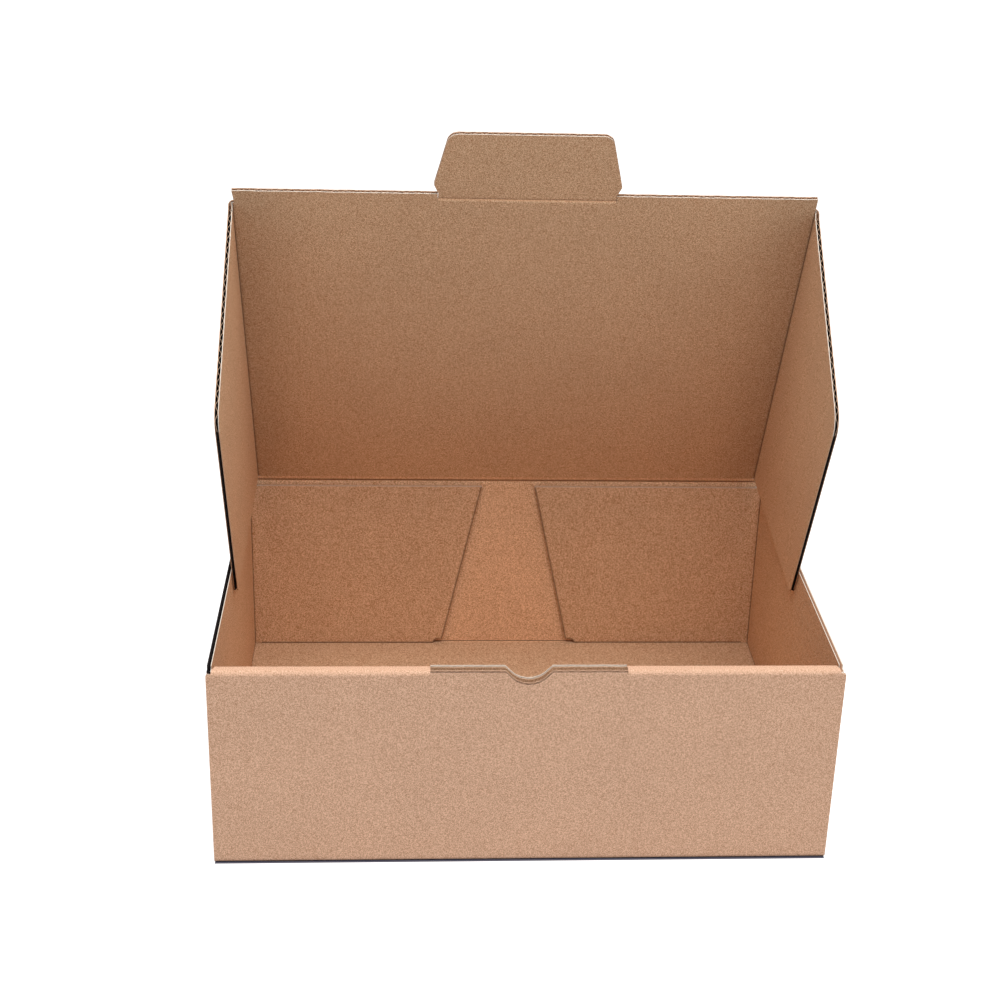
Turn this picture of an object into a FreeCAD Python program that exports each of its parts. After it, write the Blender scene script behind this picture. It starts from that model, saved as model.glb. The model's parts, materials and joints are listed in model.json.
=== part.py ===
import FreeCAD, Part
import os
import Sketcher
from FreeCAD import Placement, Rotation, Vector

# Corrugated mailer box, standing open.
# One die-cut sheet of board folded up: a tray whose front wall is rolled over double, a lid
# hinged on the back wall's top crease, a side flap on each side of the lid and a tuck tab on
# its front edge. Millimetres. +Z is up, +X is right and the front face looks along -Y.
# The origin is at the middle of the bottom, on the ground.

doc = FreeCAD.newDocument("mailer_box")
sheet = doc.addObject("Spreadsheet::Sheet", "Sizes")

sizes = [
    ("box_width", 366, "outside, left to right"),
    ("box_depth", 262, "outside, front to back"),
    ("box_height", 130, "ground to the top of the rim"),
    ("board", 2.6, "thickness of the board"),
    ("slip", 0.3, "gap between two layers, or across a cut"),
    ("flute_pitch", 6.4, "from one flute to the next"),
    ("liner", 0.45, "paper on each face of the board"),
    ("medium", 0.35, "fluted paper inside the board"),
    ("mouth_share", 0.36, "half the open side of a flute, as a share of the pitch"),
    ("crown_share", 0.125, "half the closed side of a flute, as a share of the pitch"),
    ("flute_margin", 3, "solid board kept beside the outermost flutes"),
    ("crushed_crease", 6, "board pressed flat beside a crease"),
    ("fold_radius", 2, "outside of a fold"),
    ("wall_drop", 0.8, "side walls below the rim"),
    ("rim_inset", 3.2, "front panel's end to the rim's end"),
    ("rim_mitre", 1.3, "how much more each end of the rim is cut back at its rear"),
    ("slot_width", 113, "slot in the rim for the tuck tab"),
    ("slot_step", 0.4, "panels' cut tops below the rim, in the slot"),
    ("notch_width", 28, "thumb notch at the rim"),
    ("notch_waist", 19.2, "thumb notch where its round part starts"),
    ("notch_shoulder", 4.6, "depth of the thumb notch's slanted part"),
    ("notch_depth", 8.5, "depth of the whole thumb notch"),
    ("lock_spacing", 230, "between the middles of the two locking tabs"),
    ("lock_width", 50, "each locking tab"),
    ("front_flap_length", 100, "trapped flap, from the side wall"),
    ("back_flaps_gap", 37.2, "between the two back flaps, at the top"),
    ("back_flaps_foot_gap", 91.8, "between the two back flaps, at the bottom"),
    ("back_flap_drop", 1.8, "back flaps below the rim"),
    ("foot_notch_radius", 3.2, "half-round notch in a back flap's bottom corner"),
    ("lid_play", 3.5, "lid's side flap to the side wall, lid shut"),
    ("lid_angle", 65, "lid, from shut"),
    ("flap_splay", 1.4, "lid's side flaps, outwards from square"),
    ("flap_depth", 124.5, "lid's side flap, from its crease"),
    ("flap_rear_slant", 31.4, "how far the flap's rear edge runs forward"),
    ("flap_nose", 2.5, "where the flap's front edge starts, behind the lid's corner"),
    ("flap_front_slant", 51.4, "how far the flap's front edge runs back"),
    ("flap_front_radius", 16, "flap's front corner"),
    ("flap_rear_radius", 4, "flap's rear corner"),
    ("tab_root_width", 106, "tuck tab at its crease"),
    ("tab_ear_width", 111.4, "tuck tab across its ears"),
    ("tab_ear_height", 11, "crease to the ears' widest point"),
    ("tab_top_width", 94.4, "tuck tab at its top edge, corners not rounded"),
    ("tab_height", 48.5, "crease to the top edge"),
    ("tab_top_radius", 7, "tuck tab's top corners"),
    ("tab_ear_radius", 1.5, "tuck tab's ears"),
]
sheet.set("A1", "size")
sheet.set("B1", "value")
sheet.set("C1", "what it measures")
for row, (alias, amount, meaning) in enumerate(sizes, start=2):
    sheet.set(f"A{row}", alias)
    sheet.set(f"B{row}", str(amount))
    sheet.set(f"C{row}", meaning)
    sheet.setAlias(f"B{row}", alias)
doc.recompute()


# Sizes worked out from the sheet, as expressions
half_width = "Sizes.box_width / 2"
half_depth = "Sizes.box_depth / 2"
inner_half_width = f"({half_width} - Sizes.board)"
rim_depth = "(3 * Sizes.board + 2 * Sizes.slip)"
rim_rear = f"(-{half_depth} + {rim_depth})"
rim_underside = "(Sizes.box_height - Sizes.board)"
gap_front = f"(-{half_depth} + Sizes.board)"
gap_rear = f"({rim_rear} - Sizes.board)"
floor_clear = "(Sizes.board + Sizes.slip)"
flap_top = f"({rim_underside} - Sizes.slip)"
back_flap_rear = f"({half_depth} - Sizes.board - Sizes.slip)"

hinge_y = f"({half_depth} - Sizes.board / 2)"
hinge_z = "(Sizes.box_height + Sizes.slip + Sizes.board / 2)"
lid_length = "(Sizes.box_depth - Sizes.board / 2)"
lid_half_width = f"({inner_half_width} - Sizes.lid_play)"
side_crease = f"({lid_half_width} - Sizes.board)"
flap_rear = "(1.5 * Sizes.board + 3 * Sizes.slip)"
flap_front = f"({lid_length} - {rim_depth} - 2 * Sizes.slip)"
tab_crease = f"({lid_length} - 1.5 * Sizes.board - Sizes.slip)"


def number(expression):
    """The value of an expression over the sheet's cells."""
    return float(sheet.evalExpression(str(expression)))


def new_body(name):
    body = doc.addObject("PartDesign::Body", name)
    body.Label = name
    return body


def new_sketch(body, name, plane, away="0"):
    """An empty sketch on one of the body's own planes, moved along the plane's normal."""
    sketch = body.newObject("Sketcher::SketchObject", name)
    support = [feature for feature in body.Origin.OriginFeatures if feature.Role == plane]
    sketch.AttachmentSupport = [(support[0], "")]
    sketch.MapMode = "FlatFace"
    sketch.setExpression("AttachmentOffset.Base.z", away)
    return sketch


def place(sketch, edge, end, x, y, tag):
    """Fixes one end of an edge at x, y, both bound to the sheet."""
    across = sketch.addConstraint(Sketcher.Constraint("DistanceX", -1, 1, edge, end, number(x)))
    sketch.renameConstraint(across, f"{tag}_x")
    sketch.setExpression(f"Constraints.{tag}_x", x)
    along = sketch.addConstraint(Sketcher.Constraint("DistanceY", -1, 1, edge, end, number(y)))
    sketch.renameConstraint(along, f"{tag}_y")
    sketch.setExpression(f"Constraints.{tag}_y", y)


def bulge(start, end, radius):
    """The middle point of an arc that turns left from start to end."""
    chord = end - start
    half = chord.Length / 2
    rise = radius - max(radius * radius - half * half, 0) ** 0.5
    right = Vector(chord.y, -chord.x, 0).normalize()
    return start + chord * 0.5 + right * rise


def outline(sketch, corners, arcs=None, tag="corner"):
    """A closed outline through corners. arcs gives a radius for the edge after a corner."""
    arcs = arcs or {}
    spots = [Vector(number(x), number(y), 0) for x, y in corners]
    ends = []
    for index, spot in enumerate(spots):
        following = spots[(index + 1) % len(spots)]
        if index in arcs:
            middle = bulge(spot, following, number(arcs[index]))
            edge = sketch.addGeometry(Part.Arc(spot, middle, following), False)
            limit = sketch.addConstraint(Sketcher.Constraint("Radius", edge, number(arcs[index])))
            sketch.renameConstraint(limit, f"{tag}{index}_radius")
            sketch.setExpression(f"Constraints.{tag}{index}_radius", arcs[index])
        else:
            edge = sketch.addGeometry(Part.LineSegment(spot, following), False)
        first = 1 if sketch.getPoint(edge, 1).distanceToPoint(spot) < 1e-6 else 2
        ends.append((edge, first, 3 - first))
    for index, (x, y) in enumerate(corners):
        edge, first, _ = ends[index]
        previous, _, last = ends[index - 1]
        sketch.addConstraint(Sketcher.Constraint("Coincident", previous, last, edge, first))
        place(sketch, edge, first, x, y, f"{tag}{index}")
    return sketch


def circle(sketch, radius):
    """A circle about the sketch's origin."""
    edge = sketch.addGeometry(Part.Circle(Vector(0, 0, 0), Vector(0, 0, 1), number(radius)), False)
    sketch.addConstraint(Sketcher.Constraint("Coincident", edge, 3, -1, 1))
    limit = sketch.addConstraint(Sketcher.Constraint("Radius", edge, number(radius)))
    sketch.renameConstraint(limit, "radius")
    sketch.setExpression("Constraints.radius", radius)
    return sketch


def box_corners(left, right, low, high):
    return [(left, low), (right, low), (right, high), (left, high)]


def extrude(body, kind, sketch, length, side="One side", backwards=False):
    """A Pad or a Pocket of the sketch, as long as the expression says."""
    feature = body.newObject(f"PartDesign::{kind}", f"{sketch.Name}_{kind.lower()}")
    feature.Profile = sketch
    feature.Type = "Length"
    feature.SideType = side
    feature.Reversed = backwards
    feature.setExpression("Length", length)
    sketch.Visibility = False
    body.Tip = feature
    doc.recompute()
    return feature


def round_edges(body, name, radius, wanted):
    """Fillets the edges of the body so far whose middle point fits the wanted test."""
    base = body.Tip
    names = []
    for index, edge in enumerate(base.Shape.Edges, start=1):
        if wanted(edge.CenterOfMass, edge.BoundBox):
            names.append(f"Edge{index}")
    fillet = body.newObject("PartDesign::Fillet", name)
    fillet.Base = (base, names)
    fillet.setExpression("Radius", radius)
    body.Tip = fillet
    doc.recompute()
    return fillet


def near(one, other):
    return abs(one - other) < 0.01


def flute_pair(sketch, middle_x, middle_y, turned=False):
    """Section of two neighbouring flutes of the board, one open to each face.

    The board's own plane runs along x, or along y when turned.
    """
    mouth = "Sizes.flute_pitch * Sizes.mouth_share"
    crown = "Sizes.flute_pitch * Sizes.crown_share"
    wide_at = "(Sizes.board / 2 - Sizes.liner)"
    narrow_at = f"({wide_at} - Sizes.medium)"
    for tag, step, face in (("upper", "0", "1"), ("lower", "Sizes.flute_pitch / 2", "-1")):
        section = [
            (f"({step} - {mouth})", f"({face} * {wide_at})"),
            (f"({step} + {mouth})", f"({face} * {wide_at})"),
            (f"({step} + {crown})", f"(-{face} * {narrow_at})"),
            (f"({step} - {crown})", f"(-{face} * {narrow_at})"),
        ]
        if turned:
            corners = [(f"{middle_x} + {deep}", f"{middle_y} - {along}") for along, deep in section]
        else:
            corners = [(f"{middle_x} + {along}", f"{middle_y} + {deep}") for along, deep in section]
        outline(sketch, corners, tag=tag)
    return sketch


def cut_flutes(body, sketch, length, axis, count):
    """Pockets the pair of flutes and repeats it along the body's own axis."""
    pocket = extrude(body, "Pocket", sketch, length)
    pattern = body.newObject("PartDesign::LinearPattern", f"{body.Name}_flutes")
    pattern.Originals = [pocket]
    direction = [feature for feature in body.Origin.OriginFeatures if feature.Role == axis]
    pattern.Direction = (direction[0], [""])
    pattern.Mode = "Spacing"
    pattern.setExpression("Offset", "Sizes.flute_pitch")
    pattern.setExpression("Occurrences", count)
    body.Tip = pattern
    doc.recompute()
    return pattern


# Tray: bottom, walls, rim and the flaps folded in behind and between them
def make_tray():
    body = new_body("tray")

    bottom = new_sketch(body, "bottom", "XY_Plane")
    corners = box_corners(f"-{half_width}", half_width, f"-{half_depth}", half_depth)
    extrude(body, "Pad", outline(bottom, corners), "Sizes.board")

    # The front panel goes up and over into the rim
    front = new_sketch(body, "front_and_rim", "YZ_Plane")
    outline(front, [
        (f"-{half_depth}", "0"),
        (gap_front, "0"),
        (gap_front, rim_underside),
        (rim_rear, rim_underside),
        (rim_rear, "Sizes.box_height"),
        (f"-{half_depth}", "Sizes.box_height"),
    ])
    extrude(body, "Pad", front, "Sizes.box_width", side="Symmetric")

    back = new_sketch(body, "back_wall", "YZ_Plane")
    outline(back, box_corners(f"{half_depth} - Sizes.board", half_depth, "0", "Sizes.box_height"))
    extrude(body, "Pad", back, "Sizes.box_width", side="Symmetric")

    # Outside folds: rim, front and back of the bottom
    top = number("Sizes.box_height")
    front_y = -number(half_depth)
    rear_y = number(rim_rear)

    def outside_fold(middle, bounds):
        level = near(bounds.ZMin, bounds.ZMax) and near(bounds.YMin, bounds.YMax)
        at_rim = near(middle.z, top) and (near(middle.y, front_y) or near(middle.y, rear_y))
        at_bottom = near(middle.z, 0) and near(abs(middle.y), -front_y)
        return level and bounds.XLength > 1 and (at_rim or at_bottom)

    round_edges(body, "outside_folds", "Sizes.fold_radius", outside_fold)

    # The rim's ends are cut back to clear the side walls, more so towards the rear
    mitre = new_sketch(body, "rim_ends", "XY_Plane", away=rim_underside)
    outline(mitre, [
        (half_width, gap_front),
        (half_width, rim_rear),
        (f"{half_width} - Sizes.rim_inset - Sizes.rim_mitre", rim_rear),
        (f"{half_width} - Sizes.rim_inset", gap_front),
    ])
    cut = extrude(body, "Pocket", mitre, "Sizes.board", backwards=True)
    mirror(body, "rim_ends_both", [cut])

    # The inner front panel hangs from the rim's rear edge, between the side walls
    inner = new_sketch(body, "inner_front", "YZ_Plane")
    outline(inner, box_corners(gap_rear, rim_rear, floor_clear, f"{rim_underside} + Sizes.board / 4"))
    inner_width = f"2 * ({half_width} - Sizes.rim_inset - Sizes.rim_mitre)"
    extrude(body, "Pad", inner, inner_width, side="Symmetric")

    # One side wall with its two end flaps, made on the right and mirrored
    wall = new_sketch(body, "side_wall", "YZ_Plane", away=inner_half_width)
    outline(wall, [
        (f"-{back_flap_rear}", "0"),
        (back_flap_rear, "0"),
        (back_flap_rear, "Sizes.box_height - Sizes.wall_drop"),
        (f"{rim_rear} + Sizes.slip", "Sizes.box_height - Sizes.wall_drop"),
        (f"{rim_rear} + Sizes.slip", flap_top),
        (f"-{back_flap_rear}", flap_top),
    ])
    wall_pad = extrude(body, "Pad", wall, "Sizes.board")

    wall_middle = f"({half_width} - Sizes.board / 2)"
    trapped = new_sketch(body, "trapped_flap", "XZ_Plane", away=f"({back_flap_rear} - Sizes.board)")
    flap_end = f"({inner_half_width} - Sizes.front_flap_length)"
    outline(trapped, box_corners(flap_end, wall_middle, floor_clear, flap_top))
    trapped_pad = extrude(body, "Pad", trapped, "Sizes.board")

    slanted = new_sketch(body, "back_flap", "XZ_Plane", away=f"-{back_flap_rear}")
    foot = "Sizes.back_flaps_foot_gap / 2"
    outline(slanted, [
        (foot, floor_clear),
        (wall_middle, floor_clear),
        (wall_middle, "Sizes.box_height - Sizes.back_flap_drop"),
        ("Sizes.back_flaps_gap / 2", "Sizes.box_height - Sizes.back_flap_drop"),
    ])
    slanted_pad = extrude(body, "Pad", slanted, "Sizes.board")

    # A half-round notch takes the back flap's foot off
    dent = new_sketch(body, "foot_notch", "XZ_Plane", away=f"-{back_flap_rear}")
    dent_left = f"({foot} - 0.3 * Sizes.foot_notch_radius)"
    outline(dent, [
        (f"{dent_left} + 2 * Sizes.foot_notch_radius", floor_clear),
        (dent_left, floor_clear),
    ], arcs={0: "Sizes.foot_notch_radius"})
    dent_cut = extrude(body, "Pocket", dent, "Sizes.board", backwards=True)
    mirror(body, "both_sides", [wall_pad, trapped_pad, slanted_pad, dent_cut])

    # Side walls' folds into the bottom and into their end flaps
    wall_x = number(half_width)
    wall_end = number(back_flap_rear)

    def wall_fold(middle, bounds):
        upright = bounds.ZLength > 1 and near(bounds.YMin, bounds.YMax)
        at_end = near(abs(middle.x), wall_x) and near(abs(middle.y), wall_end)
        return upright and at_end

    round_edges(body, "wall_folds", "Sizes.fold_radius", wall_fold)

    # The slot for the tuck tab, with both panels standing up beside it
    slot = new_sketch(body, "tuck_slot", "XY_Plane", away=rim_underside)
    half_slot = "Sizes.slot_width / 2"
    outline(slot, box_corners(f"-{half_slot}", half_slot, f"-{half_depth}", rim_rear))
    extrude(body, "Pocket", slot, "Sizes.board", backwards=True)
    for name, low, high in (("slot_front", f"-{half_depth}", gap_front), ("slot_rear", gap_rear, rim_rear)):
        stub = new_sketch(body, name, "XY_Plane", away=rim_underside)
        outline(stub, box_corners(f"-{half_slot}", half_slot, low, high))
        extrude(body, "Pad", stub, "Sizes.board - Sizes.slot_step")

    # In the slot both panels show their fluted section
    top_cut = "(Sizes.box_height - Sizes.slot_step)"
    count = "floor((Sizes.slot_width - 2 * Sizes.flute_margin) / Sizes.flute_pitch)"
    first = f"(-({count} / 2 - 0.25) * Sizes.flute_pitch)"
    for name, middle_y, solid_foot in (
        ("slot_front", f"({gap_front} - Sizes.board / 2)", "(Sizes.board + Sizes.crushed_crease)"),
        ("slot_rear", f"({rim_rear} - Sizes.board / 2)", f"({floor_clear} + Sizes.flute_margin)"),
    ):
        flutes = new_sketch(body, f"{name}_flute_pair", "XY_Plane", away=top_cut)
        flute_pair(flutes, first, middle_y)
        cut_flutes(body, flutes, f"{top_cut} - {solid_foot}", "X_Axis", count)

    # The thumb notch goes through both panels, slanted sides first and then round
    notch = new_sketch(body, "thumb_notch", "XZ_Plane", away=half_depth)
    waist_z = "(Sizes.box_height - Sizes.notch_shoulder)"
    sag = "(Sizes.notch_depth - Sizes.notch_shoulder)"
    half_waist = "Sizes.notch_waist / 2"
    outline(notch, [
        (f"-{half_waist}", waist_z),
        (half_waist, waist_z),
        ("Sizes.notch_width / 2", "Sizes.box_height"),
        ("-Sizes.notch_width / 2", "Sizes.box_height"),
    ], arcs={0: f"(({half_waist}) ^ 2 + {sag} ^ 2) / (2 * {sag})"})
    extrude(body, "Pocket", notch, rim_depth)

    # Two tabs on the inner front panel drop into slots in the bottom
    opening = new_sketch(body, "lock_slot", "XY_Plane", away="Sizes.board")
    half_lock = "Sizes.lock_width / 2"
    lock_left = f"(Sizes.lock_spacing / 2 - {half_lock})"
    lock_right = f"(Sizes.lock_spacing / 2 + {half_lock})"
    outline(opening, box_corners(lock_left, lock_right, f"{gap_rear} - Sizes.slip", f"{rim_rear} + Sizes.slip"))
    opening_cut = extrude(body, "Pocket", opening, "Sizes.board")
    mirror(body, "lock_slots", [opening_cut])
    tongue = new_sketch(body, "lock_tab", "XY_Plane", away="Sizes.slip")
    outline(tongue, box_corners(f"{lock_left} + Sizes.slip", f"{lock_right} - Sizes.slip", gap_rear, rim_rear))
    tongue_pad = extrude(body, "Pad", tongue, "2 * Sizes.board")
    mirror(body, "lock_tabs", [tongue_pad])
    return body


def mirror(body, name, originals):
    """Repeats features of the body on its left side."""
    plane = [feature for feature in body.Origin.OriginFeatures if feature.Role == "YZ_Plane"]
    mirrored = body.newObject("PartDesign::Mirrored", name)
    mirrored.Originals = originals
    mirrored.MirrorPlane = (plane[0], [""])
    body.Tip = mirrored
    doc.recompute()
    return mirrored


# Lid: drawn shut and flat, its hinge crease on the X axis and its front towards -Y
def make_lid():
    body = new_body("lid")

    # The board turns down at both sides, as an arc about each side flap's crease
    panel = new_sketch(body, "lid_section", "XZ_Plane")
    outline(panel, [
        (f"-{lid_half_width}", "-Sizes.board / 2"),
        (lid_half_width, "-Sizes.board / 2"),
        (side_crease, "Sizes.board / 2"),
        (f"-{side_crease}", "Sizes.board / 2"),
    ], arcs={1: "Sizes.board", 3: "Sizes.board"})
    extrude(body, "Pad", panel, lid_length)
    crease = circle(new_sketch(body, "hinge_crease", "YZ_Plane"), "Sizes.board / 2")
    extrude(body, "Pad", crease, f"2 * {side_crease}", side="Symmetric")

    # In front of the side flaps the lid is narrower, to lie on the rim
    corner = new_sketch(body, "front_corner", "XY_Plane", away="Sizes.board / 2")
    outline(corner, box_corners(side_crease, lid_half_width, f"-{lid_length}", f"-{flap_front}"))
    corner_cut = extrude(body, "Pocket", corner, "Sizes.board")
    mirror(body, "front_corners", [corner_cut])

    # The tuck tab's crease lies in a shallow cut in the front edge
    cut = new_sketch(body, "tab_cut", "XY_Plane", away="Sizes.board / 2")
    half_cut = "(Sizes.tab_root_width / 2 + Sizes.slip)"
    cut_rear = f"-({tab_crease} - Sizes.board / 2 - Sizes.slip)"
    outline(cut, box_corners(f"-{half_cut}", half_cut, f"-{lid_length}", cut_rear))
    extrude(body, "Pocket", cut, "Sizes.board")

    # Flutes run from the front edge back to the pressed hinge crease
    count = f"floor(2 * ({lid_half_width} - Sizes.flute_margin) / Sizes.flute_pitch)"
    first = f"(-({count} / 2 - 0.25) * Sizes.flute_pitch)"
    flutes = new_sketch(body, "lid_flute_pair", "XZ_Plane", away=lid_length)
    flute_pair(flutes, first, "0")
    cut_flutes(body, flutes, f"{lid_length} - Sizes.crushed_crease", "X_Axis", count)
    return body


# Tuck tab: drawn flat, its crease on the X axis and its top edge towards -Y
def make_tuck_tab():
    body = new_body("tuck_tab")
    widths = [
        ("Sizes.tab_root_width / 2", "0"),
        ("Sizes.tab_root_width / 2", f"-({lid_length} - {tab_crease} + Sizes.slip)"),
        ("Sizes.tab_ear_width / 2", "-Sizes.tab_ear_height"),
        ("Sizes.tab_top_width / 2", "-Sizes.tab_height"),
    ]
    left = [(f"-({x})", y) for x, y in widths]
    panel = new_sketch(body, "tab_outline", "XY_Plane")
    outline(panel, left + widths[::-1])
    extrude(body, "Pad", panel, "Sizes.board", side="Symmetric")
    crease = circle(new_sketch(body, "tab_crease", "YZ_Plane"), "Sizes.board / 2")
    extrude(body, "Pad", crease, "Sizes.tab_root_width", side="Symmetric")

    # The top corners are round and the ears are eased
    for tag, width, radius in (
        ("ears", "Sizes.tab_ear_width", "Sizes.tab_ear_radius"),
        ("top_corners", "Sizes.tab_top_width", "Sizes.tab_top_radius"),
    ):
        spot = number(width) / 2

        def upright_corner(middle, bounds):
            return bounds.ZLength > 1 and bounds.XLength < 0.01 and near(abs(middle.x), spot)

        round_edges(body, f"tab_{tag}", radius, upright_corner)

    count = "floor((Sizes.tab_ear_width - 2 * Sizes.flute_margin) / Sizes.flute_pitch)"
    first = f"(-({count} / 2 - 0.25) * Sizes.flute_pitch)"
    flutes = new_sketch(body, "tab_flute_pair", "XZ_Plane", away="Sizes.tab_height")
    flute_pair(flutes, first, "0")
    cut_flutes(body, flutes, "Sizes.tab_height - Sizes.crushed_crease", "X_Axis", count)
    return body


# Side flap of the lid: drawn hanging square from the shut lid, with its crease line at the
# origin, and the lid's hinge end at y = 0
def make_lid_flap(name, side):
    body = new_body(name)
    nose = f"-({flap_front} - Sizes.flap_nose)"
    front_low = f"-({flap_front} - Sizes.flap_nose - Sizes.flap_front_slant)"
    rear_low = f"-({flap_rear} + Sizes.flap_rear_slant)"
    panel = new_sketch(body, f"{name}_outline", "YZ_Plane")
    outline(panel, [
        (f"-({flap_rear})", "-Sizes.slip"),
        (nose, "-Sizes.slip"),
        (front_low, "-Sizes.flap_depth"),
        (rear_low, "-Sizes.flap_depth"),
    ])
    extrude(body, "Pad", panel, "Sizes.board", backwards=side < 0)

    # The two free corners are rounded, the front one widely
    low = -number("Sizes.flap_depth")
    corners = [("front", front_low, "Sizes.flap_front_radius"), ("rear", rear_low, "Sizes.flap_rear_radius")]
    for tag, place_y, radius in corners:
        spot = number(place_y)

        def free_corner(middle, bounds):
            return near(middle.z, low) and near(middle.y, spot) and bounds.XLength > 1

        round_edges(body, f"{name}_{tag}_corner", radius, free_corner)

    count = "floor((Sizes.flap_depth - Sizes.slip - 2 * Sizes.flute_margin) / Sizes.flute_pitch)"
    spare = f"(Sizes.flap_depth - Sizes.slip - {count} * Sizes.flute_pitch)"
    first = f"(-(Sizes.slip + {spare} / 2 + 0.25 * Sizes.flute_pitch))"
    last = f"({first} - ({count} - 1) * Sizes.flute_pitch)"
    flutes = new_sketch(body, f"{name}_flute_pair", "XZ_Plane", away=lid_length)
    flute_pair(flutes, f"{side} * Sizes.board / 2", last, turned=True)
    cut_flutes(body, flutes, lid_length, "Z_Axis", count)
    return body


tray = make_tray()
lid = make_lid()
tuck_tab = make_tuck_tab()
lid_flap_left = make_lid_flap("lid_flap_left", -1)
lid_flap_right = make_lid_flap("lid_flap_right", 1)

# The lid turns up about its hinge crease, and its flaps and tab go with it
lid_turn = Rotation(Vector(1, 0, 0), -number("Sizes.lid_angle"))
hinge = Vector(0, number(hinge_y), number(hinge_z))
lid.Placement = Placement(hinge, lid_turn)
tab_spot = hinge + lid_turn.multVec(Vector(0, -number(tab_crease), 0))
tuck_tab.Placement = Placement(tab_spot, lid_turn)
for flap, side in ((lid_flap_left, -1), (lid_flap_right, 1)):
    crease_spot = Vector(side * number(side_crease), 0, -number("Sizes.board") / 2)
    splay = Rotation(Vector(0, 1, 0), -side * number("Sizes.flap_splay"))
    flap.Placement = Placement(hinge + lid_turn.multVec(crease_spot), lid_turn * splay)
doc.recompute()

for item in doc.Objects:
    if "Invalid" in item.State or "Error" in item.State:
        raise RuntimeError(f"{item.Name} failed: {item.State}")

os.makedirs("parts", exist_ok=True)
pieces = (tray, lid, tuck_tab, lid_flap_left, lid_flap_right)
for piece in pieces:
    if piece.Shape.isNull() or not piece.Shape.isValid() or len(piece.Shape.Solids) != 1:
        raise RuntimeError(f"{piece.Label} is not one valid solid")
for piece in pieces:
    piece.Shape.exportStep(f"parts/{piece.Label}.step")
    print(piece.Label, round(piece.Shape.Volume), "mm3", len(piece.Shape.Faces), "faces")
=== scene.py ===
import bpy
import json
import math
import numpy as np
from mathutils import Matrix, Vector


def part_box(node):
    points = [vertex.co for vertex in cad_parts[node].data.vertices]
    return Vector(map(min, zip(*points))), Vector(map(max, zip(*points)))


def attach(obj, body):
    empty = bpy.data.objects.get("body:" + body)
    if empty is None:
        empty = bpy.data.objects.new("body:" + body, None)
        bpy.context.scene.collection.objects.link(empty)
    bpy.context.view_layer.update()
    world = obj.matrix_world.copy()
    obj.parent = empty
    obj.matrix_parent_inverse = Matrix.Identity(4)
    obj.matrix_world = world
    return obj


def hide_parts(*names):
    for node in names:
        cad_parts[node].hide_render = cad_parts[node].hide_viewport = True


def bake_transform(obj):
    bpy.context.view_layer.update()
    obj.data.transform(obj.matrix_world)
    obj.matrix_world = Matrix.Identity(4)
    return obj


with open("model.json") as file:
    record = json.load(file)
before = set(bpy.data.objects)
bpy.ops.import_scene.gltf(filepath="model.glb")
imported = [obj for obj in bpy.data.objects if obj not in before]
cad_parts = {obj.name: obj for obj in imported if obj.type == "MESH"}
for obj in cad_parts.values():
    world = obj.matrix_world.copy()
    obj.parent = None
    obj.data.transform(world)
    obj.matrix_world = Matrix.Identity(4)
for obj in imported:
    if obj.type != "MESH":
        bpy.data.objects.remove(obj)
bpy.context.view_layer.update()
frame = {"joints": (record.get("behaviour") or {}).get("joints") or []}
mm = 0.001

jointOf = {joint["name"]: joint for joint in frame["joints"]}
lidAngle = -math.radians(jointOf["lid_hinge"]["range_deg"][0])
hingeSpot = np.array(jointOf["lid_hinge"]["pos_m"]) / mm
halfWidth, halfDepth, height = np.array(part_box("tray")[1]) / mm
print("frame loaded")

# Board. Sizes are in millimetres, here and below, unless a note says metres.
board = {
    "thickness": 2.6,
    "slip": 0.3,  # air between two layers
    "liner": 0.42,  # thickness of each flat paper
    "medium": 0.26,  # thickness of the waved paper
    "bite": 0.02,  # how far the wave's crests run into the liners
    "pitch": 6.4,
    "bend": 1.35,  # radius of a fold, at the middle of the board
    "ragged": 0.07,  # unevenness of a cut edge, a sum of two sines
    "raggedTurns": (1.9, 4.3),  # of the two sines, in radians to a millimetre
    "raggedSecond": 0.6,  # the second sine's share
    "samples": 10,  # points along one flute
    "hiddenSamples": 3,  # the same where no cut shows the wave
    "linerStep": 4.0,  # between points across a liner
    "creaseReach": 0.8,  # how far a fold's shade spreads past its arc
    "edgeStep": 0.7,  # between points across a crease that moves
    "pressDepth": 0.38,  # share of the thickness that a crease takes away
    "pressReach": 0.9,
    "creaseOutside": 0.3,  # share of a crease's shade that shows on the outer liner
    "sharpAngle": 35.0,  # degrees
}

half = board["thickness"] / 2
wallX = halfWidth - half
wallY = halfDepth - half
innerFrontY = -(halfDepth - 2.5 * board["thickness"] - 2 * board["slip"])
trappedY = -(halfDepth - 1.5 * board["thickness"] - board["slip"])
rimMid = height - half
floorClear = board["thickness"] + board["slip"]
outerPaper, innerPaper, cutPaper, rawPaper, shadePaper = range(5)
# Paper at the start, high, end and low edge of the outer liner, inner liner and medium
lightInner = np.array([[rawPaper] * 4, [cutPaper] * 4, [rawPaper] * 4])


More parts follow.
